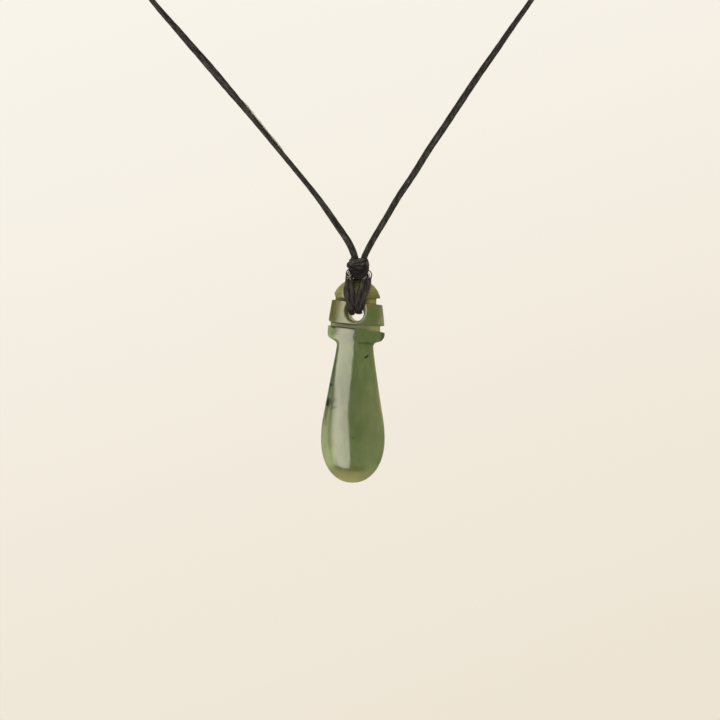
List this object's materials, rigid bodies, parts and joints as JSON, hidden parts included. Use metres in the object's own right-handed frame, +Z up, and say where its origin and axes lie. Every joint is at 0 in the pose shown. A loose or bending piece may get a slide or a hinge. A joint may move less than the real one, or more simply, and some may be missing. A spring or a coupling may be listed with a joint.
{
  "type": "mere pendant",
  "caption": "Small greenstone mere, a flat club with a domed and grooved butt, hung through its drilled hole by a lashed and knotted waxed neck cord.",
  "frame": {"origin": "on the underside of the neck cord at the middle of the closure, where the cord hangs over the nape", "axes": "+Z up, the stone's front faces -Y, +X to the right seen from the front"},
  "size_m": [0.1142, 0.0086, 0.2051],
  "materials": {
    "greenstone": "polished",
    "waxed_cord": "waxed"
  },
  "bodies": {
    "cord": {"neck_cord": "waxed_cord", "closure": "waxed_cord", "knot": "waxed_cord", "lashing_left": "waxed_cord", "lashing_right": "waxed_cord"},
    "stone": {"mere": "greenstone"}
  },
  "joints": [
    {"name": "mere_swing", "type": "hinge", "parent": "cord", "child": "stone", "pos_m": [0, 0, -0.16], "axis": [0, 1, 0], "range_deg": [-20, 20]}
  ]
}
